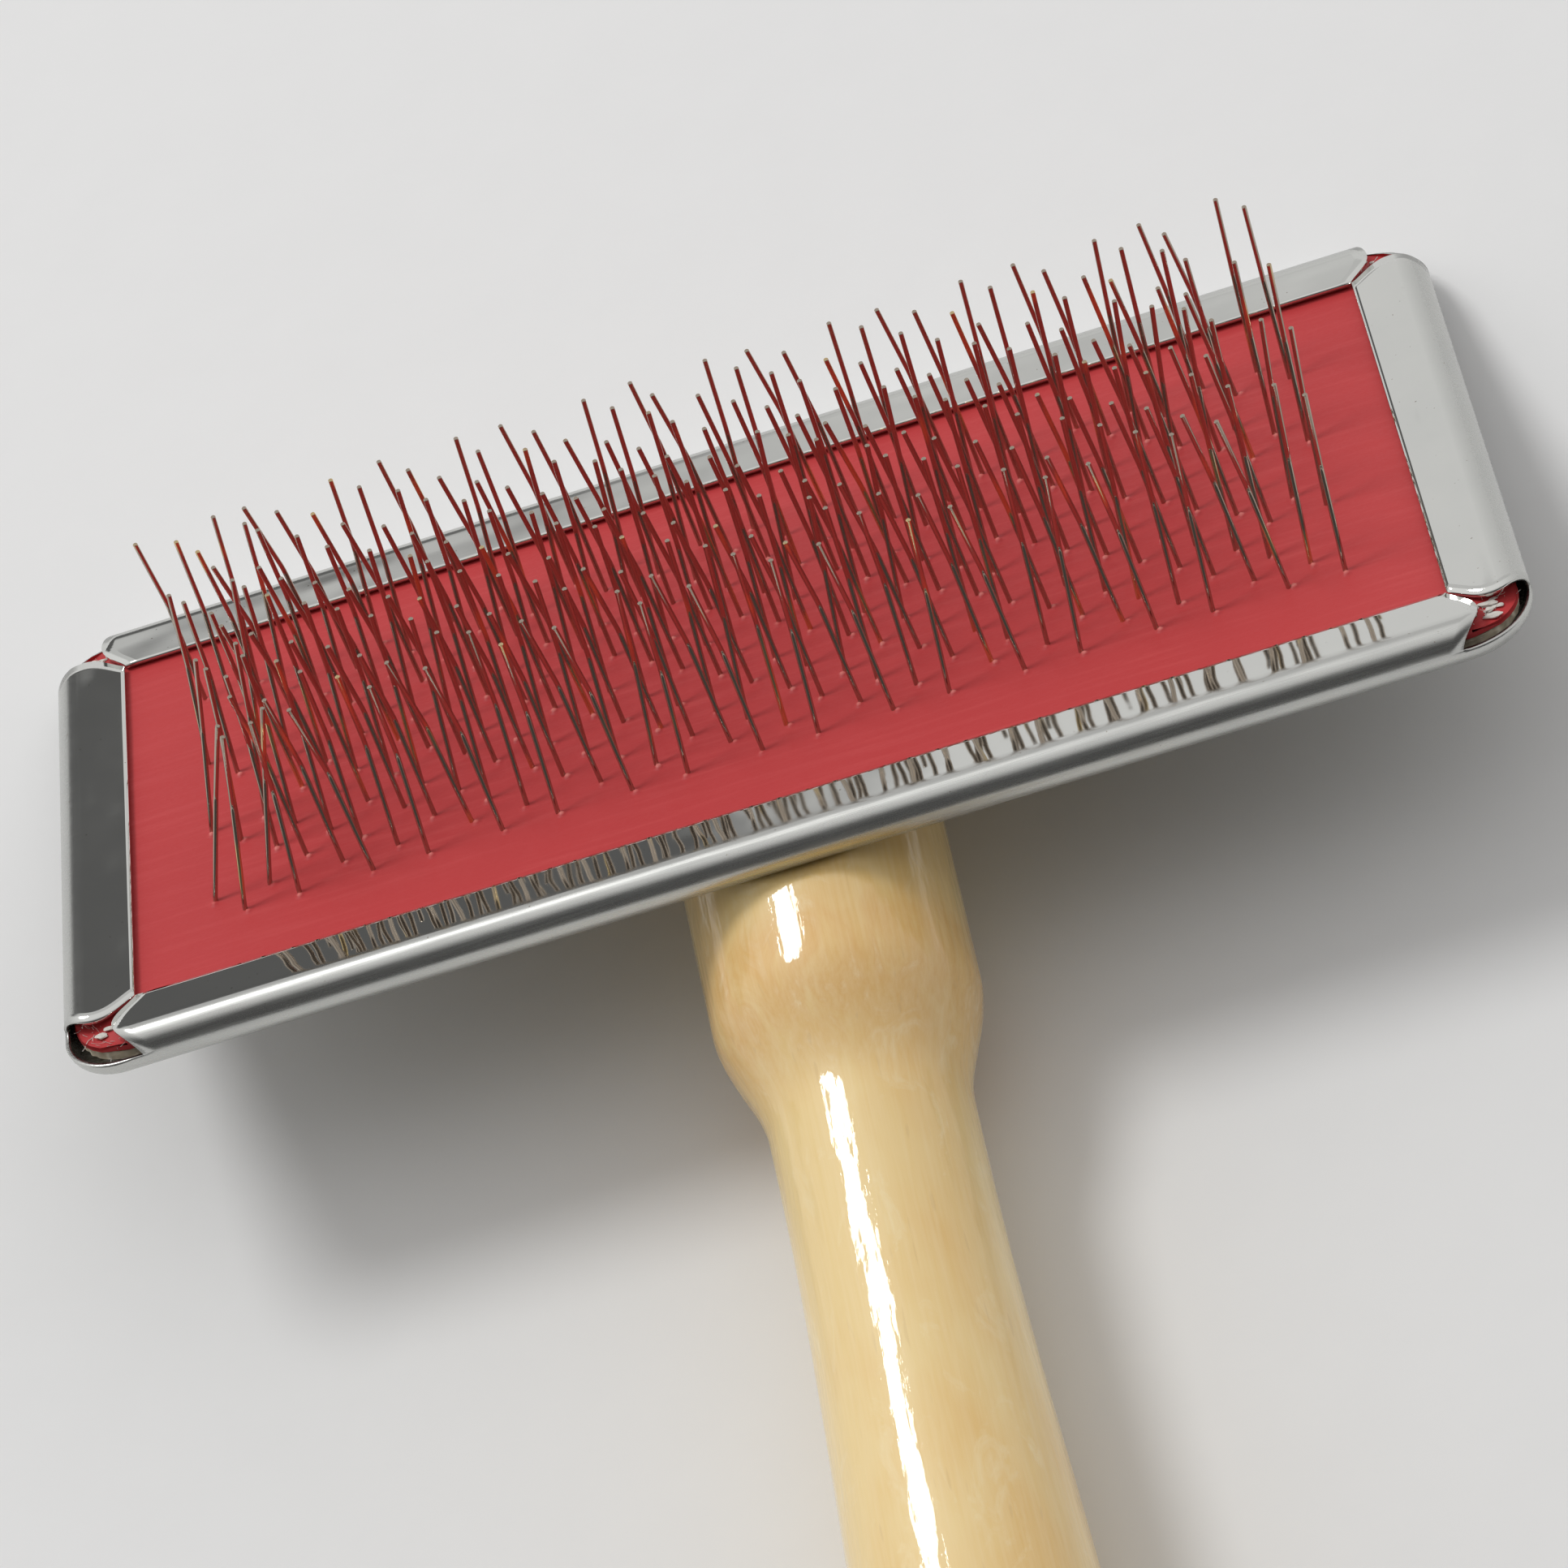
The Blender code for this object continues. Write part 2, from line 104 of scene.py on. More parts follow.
# Handle, measured back along its axis from where that meets the steel back.
HANDLE_ANGLE = math.radians(22)
HANDLE_SKEW = math.radians(0.9)
HANDLE_CROSSING = -0.45 * MM
BEVEL_GAP = 0.1 * MM
FRONT_RADIUS = 10.05 * MM
NOSE_START = 6.0 * MM
NOSE_LENGTH = 12.0 * MM
SHOULDER_START = 30.5 * MM
SHOULDER_LENGTH = 10.0 * MM
NECK_RADIUS = 7.6 * MM
NECK_END = 46.0 * MM
SWELL_AT = 98.0 * MM
SWELL_RADIUS = 9.2 * MM
DOME_LENGTH = 18.0 * MM
BUTT_RADIUS = 3.0 * MM

TACKS = {"tack_front": -2.0 * MM, "tack_rear": -18.0 * MM}
TACK_HOLE = 1.0 * MM

random.seed(SEED)


# ---- Frames of the head and the handle ------------------------------------------------------


def head_matrix():
    """The head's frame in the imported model's, from the places of its pins' hinges."""
    hinges = {joint["child"]: Vector(joint["pos_m"]) for joint in frame["joints"]}
    rows = sorted(hinges)
    first, last = hinges[rows[0]], hinges[rows[-1]]
    x_axis = Vector((1, 0, 0))
    y_axis = (last - first).normalized()
    z_axis = x_axis.cross(y_axis)
    origin = (first + last) / 2 - z_axis * HINGE_HEIGHT
    matrix = Matrix((x_axis, y_axis, z_axis)).transposed().to_4x4()
    matrix.translation = origin
    return matrix


HEAD = head_matrix()
HANDLE = (
    HEAD
    @ Matrix.Translation((0, HANDLE_CROSSING, 0))
    @ Matrix.Rotation(-HANDLE_SKEW, 4, "Z")
    @ Matrix.Rotation(HANDLE_ANGLE, 4, "X")
)


# ---- Node helpers ---------------------------------------------------------------------------


def add(tree, kind, inputs=None, **settings):
    """A shader node with its settings, and its inputs linked or set by name or number."""
    node = tree.nodes.new("ShaderNode" + kind)
    for name, value in settings.items():
        setattr(node, name, value)
    for socket, value in (inputs or {}).items():
        if isinstance(value, bpy.types.NodeSocket):
            tree.links.new(value, node.inputs[socket])
        else:
            node.inputs[socket].default_value = value
    return node


def new_material(name, **values):
    """A Principled material and its parts. Underscores in a value's name stand for spaces."""
    material = bpy.data.materials.new(name)
    material.use_nodes = True
    tree = material.node_tree
    shader = tree.nodes["Principled BSDF"]
    for socket, value in values.items():
        shader.inputs[socket.replace("_", " ")].default_value = value
    return material, tree, shader


def object_coordinates(tree):
    return add(tree, "TexCoord").outputs["Object"]


def noise_at(tree, vector, stretch, scale, detail=3.0, roughness=0.5, distortion=0.0):
    """Noise that is stretched along the axes, with scale in features per metre."""
    mapped = add(tree, "Mapping", {"Vector": vector, "Scale": stretch}).outputs[0]
    inputs = {
        "Vector": mapped,
        "Scale": scale,
        "Detail": detail,
        "Roughness": roughness,
        "Distortion": distortion,
    }
    return add(tree, "TexNoise", inputs).outputs["Fac"]


def remap(tree, value, low, high, to_low=0.0, to_high=1.0):
    inputs = {"Value": value, 1: low, 2: high, 3: to_low, 4: to_high}
    return add(tree, "MapRange", inputs).outputs[0]


def mix_colour(tree, factor, first, second):
    """The first colour where the factor is 0, and the second where it is 1."""
    node = add(tree, "Mix", data_type="RGBA")
    for socket, value in ((0, factor), (6, first), (7, second)):
        if isinstance(value, bpy.types.NodeSocket):
            tree.links.new(value, node.inputs[socket])
        else:
            node.inputs[socket].default_value = value
    return node.outputs[2]


def maths(tree, operation, first, second):
    return add(tree, "Math", {0: first, 1: second}, operation=operation).outputs[0]


def bump(tree, height, strength, distance, normal=None):
    inputs = {"Height": height, "Strength": strength, "Distance": distance}
    if normal is not None:
        inputs["Normal"] = normal
    return add(tree, "Bump", inputs).outputs[0]


# ---- Materials ------------------------------------------------------------------------------


def make_steel():
    """Thin nickel-plated sheet: flanges near a mirror, rolls satin with a fine rolling grain."""
    material, tree, shader = new_material("plated_steel", Metallic=1.0)
    place = object_coordinates(tree)
    x, y, height = add(tree, "SeparateXYZ", {0: place}).outputs
    out_x, out_y = maths(tree, "ABSOLUTE", x, 0.0), maths(tree, "ABSOLUTE", y, 0.0)
    past_x = maths(tree, "SUBTRACT", out_x, HEAD_LENGTH / 2 - ROLL_RADIUS)
    past_y = maths(tree, "SUBTRACT", out_y, HEAD_WIDTH / 2 - ROLL_RADIUS)
    past = maths(tree, "MAXIMUM", past_x, past_y)
    inside = remap(tree, past, 0.8 * MM, -0.5 * MM)
    flange = maths(tree, "MULTIPLY", inside, remap(tree, height, 2.0 * MM, 2.5 * MM))
    grain = noise_at(tree, place, (0.03, 1, 1), 7000, detail=4)
    patches = noise_at(tree, place, (1, 1, 1), 140, detail=4)
    specks = remap(tree, noise_at(tree, place, (1, 1, 1), 3400, detail=1), 0.775, 0.80)
    satin = remap(tree, grain, 0.3, 0.75, 0.23, 0.34)
    mirror = remap(tree, patches, 0.3, 0.8, 0.02, 0.07)
    rough = add(tree, "Mix", {0: flange, 2: satin, 3: mirror}).outputs[0]
    tree.links.new(rough, shader.inputs["Roughness"])
    tint = mix_colour(tree, patches, (0.66, 0.67, 0.65, 1), (0.76, 0.76, 0.73, 1))
    # Painted shade: away from the flanges (on the rolls and the back) the tint is darkened by 22%
    # to dim the rolls' reflections.
    tint = mix_colour(tree, flange, mix_colour(tree, 0.22, tint, (0, 0, 0, 1)), tint)
    tint = mix_colour(tree, specks, tint, (0.34, 0.31, 0.27, 1))
    tree.links.new(tint, shader.inputs["Base Color"])
    grain_height = add(tree, "Mix", {0: flange, 2: 1.0, 3: 0.12}).outputs[0]
    relief = maths(tree, "MULTIPLY", grain, grain_height)
    tree.links.new(bump(tree, relief, 0.18, 0.01 * MM), shader.inputs["Normal"])
    return material


def make_wire():
    """Drawn spring wire, its warm brown base partly a painted reflection of the red pad, with
    painted brassy glints here and there.
    """
    material, tree, shader = new_material("spring_wire", Metallic=1.0)
    place = object_coordinates(tree)
    # Painted glints: brassy patches stand in for the light's gold reflections; the warm base
    # partly paints in the red pad's reflection.
    painted_glint = remap(tree, noise_at(tree, place, (1, 1, 0.3), 320, detail=1), 0.62, 0.68)
    tint = mix_colour(tree, painted_glint, (0.47, 0.395, 0.325, 1), (0.72, 0.55, 0.30, 1))
    tree.links.new(tint, shader.inputs["Base Color"])
    drawn = noise_at(tree, place, (1, 1, 0.05), 9000, detail=2)
    tree.links.new(remap(tree, drawn, 0.3, 0.7, 0.07, 0.13), shader.inputs["Roughness"])
    return material


def make_tack():
    """Dull steel, paler and rougher in patches."""
    material, tree, shader = new_material("tack_steel", Metallic=1.0)
    place = object_coordinates(tree)
    worn = noise_at(tree, place, (1, 1, 1), 900, detail=4)
    tint = mix_colour(tree, worn, (0.42, 0.41, 0.40, 1), (0.60, 0.58, 0.55, 1))
    tree.links.new(tint, shader.inputs["Base Color"])
    tree.links.new(remap(tree, worn, 0.3, 0.7, 0.25, 0.45), shader.inputs["Roughness"])
    return material


def make_rubber():
    """Red rubber sheet with faint lines along the head, paler where the pins raise a crumb."""
    material, tree, shader = new_material("red_rubber", IOR=1.45, Specular_IOR_Level=0.35)
    place = object_coordinates(tree)
    lines = noise_at(tree, place, (0.06, 1, 1), 1500, detail=5, roughness=0.6)
    cloud = noise_at(tree, place, (0.5, 1, 1), 60, detail=4)
    fine = noise_at(tree, place, (0.5, 1, 1), 6000, detail=2)
    tint = mix_colour(tree, cloud, (0.47, 0.038, 0.042, 1), (0.54, 0.050, 0.053, 1))
    dust = remap(tree, lines, 0.50, 0.78, 0.0, 0.35)
    tint = mix_colour(tree, dust, tint, (0.62, 0.095, 0.095, 1))
    height = add(tree, "SeparateXYZ", {0: place}).outputs[2]
    crumb = remap(tree, height, FACE_TOP + 0.10 * MM, FACE_TOP + 0.22 * MM)
    tint = mix_colour(tree, crumb, tint, (0.72, 0.19, 0.17, 1))
    tree.links.new(tint, shader.inputs["Base Color"])
    tree.links.new(remap(tree, fine, 0.3, 0.7, 0.42, 0.58), shader.inputs["Roughness"])
    relief = bump(tree, lines, 0.25, 0.05 * MM)
    tree.links.new(bump(tree, fine, 0.15, 0.02 * MM, relief), shader.inputs["Normal"])
    return material


def make_cloth():
    """Coarse cotton, woven square."""
    material, tree, shader = new_material("foundation_cloth", Roughness=0.9)
    place = object_coordinates(tree)
    waves = []
    for direction in ("X", "Y"):
        inputs = {"Vector": place, "Scale": 450.0, "Distortion": 0.6}
        wave = add(tree, "TexWave", inputs, bands_direction=direction)
        waves.append(wave.outputs["Fac"])
    weave = maths(tree, "MULTIPLY", waves[0], waves[1])
    tint = mix_colour(tree, weave, (0.50, 0.43, 0.32, 1), (0.72, 0.66, 0.54, 1))
    tree.links.new(tint, shader.inputs["Base Color"])
    tree.links.new(bump(tree, weave, 0.6, 0.1 * MM), shader.inputs["Normal"])
    return material


def make_felt():
    """Pressed white wool felt, and the loose fibres at its corners."""
    material, tree, shader = new_material("white_felt", Roughness=0.95, Sheen_Weight=0.3)
    place = object_coordinates(tree)
    matted = noise_at(tree, place, (1, 1, 1), 1800, detail=6, roughness=0.7, distortion=1.5)
    tint = mix_colour(tree, matted, (0.58, 0.54, 0.48, 1), (0.86, 0.83, 0.78, 1))
    tree.links.new(tint, shader.inputs["Base Color"])
    tree.links.new(bump(tree, matted, 0.8, 0.15 * MM), shader.inputs["Normal"])
    return material


def make_wood():
    """Pale hardwood, its grain along Y, with an amber ring by the shoulder, in clear lacquer."""
    material, tree, shader = new_material(
        "lacquered_wood", Coat_Weight=1.0, Coat_IOR=1.6, Roughness=0.5, Coat_Roughness=0.05
    )
    place = object_coordinates(tree)
    along = add(tree, "SeparateXYZ", {0: place}).outputs[1]
    broad = noise_at(tree, place, (1, 0.12, 1), 180, detail=4, distortion=0.4)
    fibre = noise_at(tree, place, (1, 0.035, 1), 2200, detail=5, roughness=0.65)
    cloud = noise_at(tree, place, (1, 0.45, 1), 75, detail=4, roughness=0.6)
    pores = remap(tree, noise_at(tree, place, (1, 0.12, 1), 1700, detail=1), 0.70, 0.75)

    tint = mix_colour(tree, broad, (0.82, 0.57, 0.20, 1), (0.92, 0.71, 0.33, 1))
    amber = remap(tree, cloud, 0.45, 0.66, 0.0, 0.7)
    tint = mix_colour(tree, amber, tint, (0.80, 0.48, 0.13, 1))
    fade_back = remap(tree, along, -42 * MM, -34 * MM)
    fade_front = remap(tree, along, -25 * MM, -28.5 * MM)
    ring = maths(tree, "MULTIPLY", fade_back, fade_front)
    figure = noise_at(tree, place, (1, 0.55, 1), 330, detail=5, roughness=0.62, distortion=1.2)
    ring = maths(tree, "MULTIPLY", ring, remap(tree, figure, 0.36, 0.62, 0.35, 0.95))
    tint = mix_colour(tree, ring, tint, (0.76, 0.42, 0.10, 1))
    pale = remap(tree, figure, 0.56, 0.70, 0.0, 0.5)
    tint = mix_colour(tree, pale, tint, (0.93, 0.76, 0.43, 1))
    light = remap(tree, fibre, 0.35, 0.75, 0.0, 0.35)
    tint = mix_colour(tree, light, tint, (0.94, 0.74, 0.42, 1))
    tint = mix_colour(tree, maths(tree, "MULTIPLY", pores, 0.14), tint, (0.46, 0.26, 0.10, 1))
    tree.links.new(tint, shader.inputs["Base Color"])

    flow = noise_at(tree, place, (1, 0.22, 1), 420, detail=3)
    streaks = noise_at(tree, place, (1, 0.05, 1), 1500, detail=3)
    pimple = noise_at(tree, place, (1, 0.5, 1), 1800, detail=3)
    lacquer = bump(tree, flow, 1.0, 0.16 * MM)
    lacquer = bump(tree, streaks, 0.5, 0.04 * MM, lacquer)
    lacquer = bump(tree, pimple, 0.6, 0.03 * MM, lacquer)
    tree.links.new(lacquer, shader.inputs["Coat Normal"])
    tree.links.new(bump(tree, fibre, 0.25, 0.03 * MM), shader.inputs["Normal"])
    return material


def make_paper():
    """The pale, matt sheet under the brush, faintly mottled."""
    material, tree, shader = new_material("paper", Roughness=0.75, Specular_IOR_Level=0.2)
    place = object_coordinates(tree)
    mottled = noise_at(tree, place, (1, 1, 1), 160, detail=6)
    tint = mix_colour(tree, mottled, (0.83, 0.83, 0.83, 1), (0.85, 0.85, 0.85, 1))
    tree.links.new(tint, shader.inputs["Base Color"])
    tree.links.new(bump(tree, mottled, 0.15, 0.3 * MM), shader.inputs["Normal"])
    return material


STEEL = make_steel()
SPRING_WIRE = make_wire()
TACK_STEEL = make_tack()
RUBBER = make_rubber()
CLOTH = make_cloth()
FELT = make_felt()
WOOD = make_wood()
PAPER = make_paper()


# ---- Mesh helpers ---------------------------------------------------------------------------


def make_piece(name, bm, matrix, material, smooth_angle=None):
    """An object from the mesh, shaded smooth but for edges over the angle, in degrees."""
    bmesh.ops.recalc_face_normals(bm, faces=bm.faces)
    mesh = bpy.data.meshes.new(name)
    bm.to_mesh(mesh)
    bm.free()
    mesh.materials.append(material)
    if smooth_angle is not None:
        mesh.shade_smooth()
        mesh.set_sharp_from_angle(angle=math.radians(smooth_angle))
    piece = bpy.data.objects.new(name, mesh)
    bpy.context.scene.collection.objects.link(piece)
    piece.matrix_world = matrix
    return piece


def attach(piece, body, slot, *nodes):
    """Lets the piece ride on a body, and stand in for the CAD's nodes."""
    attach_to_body(piece, body)
    if nodes:
        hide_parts(*nodes)
    return piece


def smooth_step(t):
    t = min(max(t, 0.0), 1.0)
    return t * t * (3 - 2 * t)


def wobble(point, scale, offset=0.0):
    """Smooth noise from -1 to 1, with scale in features per metre."""
    return noise.noise(Vector(point) * scale + Vector((offset, offset, offset)))


def bridge(bm, lower, upper, closed=False):
    """Faces between two rows of verts, or between two rings if they are closed."""
    count = len(lower)
    for i in range(count if closed else count - 1):
        j = (i + 1) % count
        bm.faces.new((lower[i], lower[j], upper[j], upper[i]))


def fill_rings(bm, rings):
    """Fills the flat area inside the first ring of verts and outside the others."""
    edges = []
    for ring in rings:
        for pair in zip(ring, ring[1:] + ring[:1]):
            edges.append(bm.edges.get(pair) or bm.edges.new(pair))
    bmesh.ops.triangle_fill(bm, use_beauty=True, edges=edges)


def corner_arcs(half_length, half_width, radii, steps):
    """The four rounded corners of a rectangle, anticlockwise from the right side's far end."""
    arcs = []
    signs = ((1, 1), (-1, 1), (-1, -1), (1, -1))
    for turn, ((sign_x, sign_y), radius) in enumerate(zip(signs, radii)):
        x, y = sign_x * (half_length - radius), sign_y * (half_width - radius)
        angles = [math.pi / 2 * (turn + step / steps) for step in range(steps + 1)]
        arcs.append([(x + radius * math.cos(a), y + radius * math.sin(a)) for a in angles])
    return arcs


def between(start, end, steps):
    """Evenly spaced points from start to end, without either."""
    ends = list(zip(start, end))
    return [tuple(a + (b - a) * i / steps for a, b in ends) for i in range(1, steps)]


# ---- Steel tray -----------------------------------------------------------------------------

CORNER_STEPS = 14
LONG_STEPS = 96
SHORT_STEPS = 44


def side_profile(flange):
    """(outward, height, distance) round a roll from the rim, then in over its flange."""
    points = []
    roll_steps, flange_steps = 16, 14
    for step in range(1, roll_steps + 1):
        turned = math.pi / 2 * step / roll_steps
        outward = ROLL_RADIUS * (math.cos(turned) - 1)
        points.append((outward, ROLL_RADIUS * (1 + math.sin(turned)), ROLL_RADIUS * turned))
    outward, height, distance = points[-1]
    for step in range(1, flange_steps + 1):
        t = step / flange_steps
        points.append((outward - flange * t, height - LIP_DROP * t, distance + flange * t))
    return points


def roll_side(bm, rim, along, across, half_window, half_width):
    """Carries the sheet from the rim round the roll, and in over the pad as a flat flange."""
    stations = side_profile(half_width - ROLL_RADIUS - half_window[1])
    full_distance = stations[-1][2]
    reach_at_rim = half_window[0] - MITRE_GAP
    previous = rim
    for outward, height, distance in stations:
        t = distance / full_distance
        turned = math.pi * t**BULGE_SKEW
        swell = END_BULGE * max(math.sin(turned), 0.0) ** BULGE_SHARPNESS
        stretch = 1 + swell / reach_at_rim
        on_flange = smooth_step((t - 0.4) / 0.3)
        row = []
        for vert in rim:
            point = along * vert.co.dot(along) * stretch + across * (half_width + outward)
            point.z = height
            waves = 0.035 * wobble(point, 95) + 0.012 * wobble(point, 420)
            point.z += on_flange * waves * MM
            row.append(bm.verts.new(point))
        bridge(bm, previous, row)
        previous = row


def tray_sides():
    """(along, across, half window, half width, steps) of the far, left, near and right side."""
    x_axis, y_axis = Vector((1, 0, 0)), Vector((0, 1, 0))
    long_side = ((WINDOW_LENGTH / 2, WINDOW_WIDTH / 2), HEAD_WIDTH / 2, LONG_STEPS)
    short_side = ((WINDOW_WIDTH / 2, WINDOW_LENGTH / 2), HEAD_LENGTH / 2, SHORT_STEPS)
    return [
        (-x_axis, y_axis, *long_side),
        (-y_axis, -x_axis, *short_side),
        (x_axis, -y_axis, *long_side),
        (y_axis, x_axis, *short_side),
    ]


def build_tray():
    """The flat back with its holes, the edge up to the rim, and the four rolled sides."""
    bm = bmesh.new()
    rim_steps = 14
    loops = []
    for step in range(rim_steps + 1):
        angle = math.pi / 2 * step / rim_steps
        outward = ROLL_RADIUS * (math.sin(angle) - 1)
        height = ROLL_RADIUS * (1 - math.cos(angle))
        radii = [radius + outward for radius in CORNER_RADII]
        arcs = corner_arcs(
            HEAD_LENGTH / 2 + outward, HEAD_WIDTH / 2 + outward, radii, CORNER_STEPS
        )
        loop = []
        for arc, (along, across, window, half_width, steps) in zip(arcs, tray_sides()):
            loop += arc
            reach = window[0] - MITRE_GAP
            for i in range(steps + 1):
                point = along * reach * (2 * i / steps - 1) + across * (half_width + outward)
                loop.append((point.x, point.y))
        loops.append([bm.verts.new((x, y, height)) for x, y in loop])
    for lower, upper in zip(loops, loops[1:]):
        bridge(bm, lower, upper, closed=True)
    holes = []
    sides = 32
    for place in TACKS.values():
        turns = [2 * math.pi * step / sides for step in range(sides)]
        ring = [(TACK_HOLE * math.cos(a), place + TACK_HOLE * math.sin(a), 0) for a in turns]
        holes.append([bm.verts.new(point) for point in ring])
    fill_rings(bm, [loops[0]] + holes)

    start = 0
    for along, across, window, half_width, steps in tray_sides():
        start += CORNER_STEPS + 1
        side = loops[-1][start : start + steps + 1]
        start += steps + 1
        roll_side(bm, side, along, across, window, half_width)

    tray = make_piece("head_tray_sheet", bm, HEAD, STEEL, smooth_angle=40)
    sheet = tray.modifiers.new("sheet", "SOLIDIFY")
    sheet.thickness = SHEET
    sheet.offset = -1
    sheet.use_even_offset = True
    attach(tray, "head", "plated_steel", "head_tray")


# ---- Rubber face, cloth and felt ------------------------------------------------------------


def row_y(row):
    """A row's place across the head, with row 0 the nearest to the handle."""
    return (row - (ROW_COUNT - 1) / 2) * ROW_PITCH


def edge_lean(x, row):
    """Degrees that a pin near the head's -X end leans in, the most near the handle."""
    nearness = max(1 - (x - EDGE_START) / EDGE_REACH, 0.0)
    return nearness * (
        NEAR_EDGE_LEAN + (FAR_EDGE_LEAN - NEAR_EDGE_LEAN) * row / (ROW_COUNT - 1)
    )


def row_pins(row):
    """(x, sideways lean in degrees) of each pin in a row. The rows repeat in fours."""
    kind = row % 4
    start = PIN_FIELD_START - ROW_STAGGER * (kind % 2)
    staples = 9
    if kind >= 2:
        start += STAPLE_PITCH / 2
        staples = 8
    pins = []
    for staple in range(staples):
        left = start + staple * STAPLE_PITCH
        for x, splay in ((left, -SPLAY), (left + STAPLE_WIDTH, SPLAY)):
            pins.append((x, splay + edge_lean(x, row)))
    return pins


def spread(low, high, step):
    """Evenly spaced numbers from low to high, about a step apart."""
    count = max(1, round((high - low) / step))
    return [low + (high - low) * i / count for i in range(count + 1)]


def graded(half, fine_low, fine_high, fine, coarse):
    """Grid lines from -half to half, close together between fine_low and fine_high."""
    lines = spread(-half, fine_low, coarse)[:-1]
    lines += spread(fine_low, fine_high, fine)[:-1]
    return lines + spread(fine_high, half, coarse)


def foot_relief(places):
    """The height of the rubber's relief at any place: a low mound and a crumb at each pin."""
    mound_width, mound_rise = 0.45 * MM, 0.06 * MM
    crumb_width = 0.24 * MM
    cell = 2 * MM
    cells = {}
    for x, y in places:
        turn = random.uniform(-2.4, 0.2)
        reach = random.uniform(0.30, 0.42) * MM
        rise = random.uniform(0.12, 0.26) * MM
        crumb = (x + reach * math.cos(turn), y + reach * math.sin(turn), rise)
        for i in (-1, 0, 1):
            for j in (-1, 0, 1):
                key = (round(x / cell) + i, round(y / cell) + j)
                cells.setdefault(key, []).append((x, y, crumb))

    def height(x, y):
        total = 0.0
        for pin_x, pin_y, crumb in cells.get((round(x / cell), round(y / cell)), ()):
            crumb_x, crumb_y, rise = crumb
            from_pin = math.hypot(x - pin_x, y - pin_y) / mound_width
            total += mound_rise * math.exp(-(from_pin**2))
            from_crumb = math.hypot(x - crumb_x, y - crumb_y) / crumb_width
            total += rise * math.exp(-(from_crumb**4))
        return total

    return height


def build_face():
    """The rubber sheet, which droops at its corners, on a grid that is fine by the pins."""
    half_x, half_y = HEAD_LENGTH / 2 - FACE_INSET, HEAD_WIDTH / 2 - FACE_INSET
    places = [(x, row_y(row)) for row in range(ROW_COUNT) for x, _ in row_pins(row)]
    relief = foot_relief(places)
    fine, coarse = 0.17 * MM, 0.6 * MM
    pins_left, pins_right, pins_across = -45.5 * MM, 45 * MM, 15.8 * MM
    columns = graded(half_x, pins_left, pins_right, fine, coarse)
    lines = graded(half_y, -pins_across, pins_across, fine, coarse)
    bm = bmesh.new()
    grid = []
    for y in lines:
        into_corner = max(0.0, abs(y) - (half_y - LAYER_CORNER))
        width = half_x - LAYER_CORNER + math.sqrt(max(0.0, LAYER_CORNER**2 - into_corner**2))
        row = []
        for column in columns:
            x = column * width / half_x
            out_x = max(0.0, abs(x) - (half_x - LAYER_CORNER))
            past_corner = math.hypot(out_x, into_corner) - DROOP_START
            droop = CORNER_DROOP * smooth_step(past_corner / DROOP_LENGTH)
            z = FACE_TOP + relief(x, y) + 0.03 * MM * wobble((x * 0.2, y, 0), 600)
            z -= droop if out_x and into_corner else 0.0
            row.append(bm.verts.new((x, y, z)))
        grid.append(row)
    for lower, upper in zip(grid, grid[1:]):
        bridge(bm, lower, upper)
    rim = grid[0] + [row[-1] for row in grid[1:-1]] + grid[-1][::-1]
    rim += [row[0] for row in grid[-2:0:-1]]
    previous = rim
    for step in range(1, 4):
        height = FACE_TOP + (FACE_BASE - FACE_TOP) * step / 3
        ring = [bm.verts.new((vert.co.x, vert.co.y, height)) for vert in rim]
        bridge(bm, previous, ring, closed=True)
        previous = ring
    bm.faces.new(previous)
    face = make_piece("pad_rubber", bm, HEAD, RUBBER, smooth_angle=50)
    attach(face, "head", "red_rubber", "pad_face")


def build_layer(name, inset, base, thickness, fray, material, slot, node):
    """A flat layer that frays by up to a share of its width, and half that of its length."""
    arcs = corner_arcs(HEAD_LENGTH / 2 - inset, HEAD_WIDTH / 2 - inset, [LAYER_CORNER] * 4, 30)
    outline = []
    for arc, following, steps in zip(arcs, arcs[1:] + arcs[:1], (300, 130, 300, 130)):
        outline += arc + between(arc[-1], following[0], steps)
    bm = bmesh.new()
    levels = []
    for level in range(5):
        height = base + thickness * level / 4
        ring = []
        for x, y in outline:
            loss = fray * (0.5 + 0.5 * wobble((x, y, height * 3), 1500, level))
            ring.append(bm.verts.new((x * (1 - loss / 2), y * (1 - loss), height)))
        levels.append(ring)
    for lower, upper in zip(levels, levels[1:]):
        bridge(bm, lower, upper, closed=True)
    bm.faces.new(levels[-1])
    bm.faces.new(levels[0][::-1])
    layer = make_piece(name, bm, HEAD, material, smooth_angle=50)
    return attach(layer, "head", slot, node)


# ---- Wires ----------------------------------------------------------------------------------


def bent(points, reach, steps):
    """A polyline with each corner turned into a smooth bend that starts reach before it."""
    path = [points[0]]
    for before, corner, after in zip(points, points[1:], points[2:]):
        into, out = (corner - before).normalized(), (after - corner).normalized()
        room = min(reach, (corner - before).length / 2, (after - corner).length / 2)
        start, end = corner - into * room, corner + out * room
        for step in range(steps + 1):
            t = step / steps
            path.append(start * (1 - t) ** 2 + corner * 2 * t * (1 - t) + end * t * t)
    path.append(points[-1])
    return path


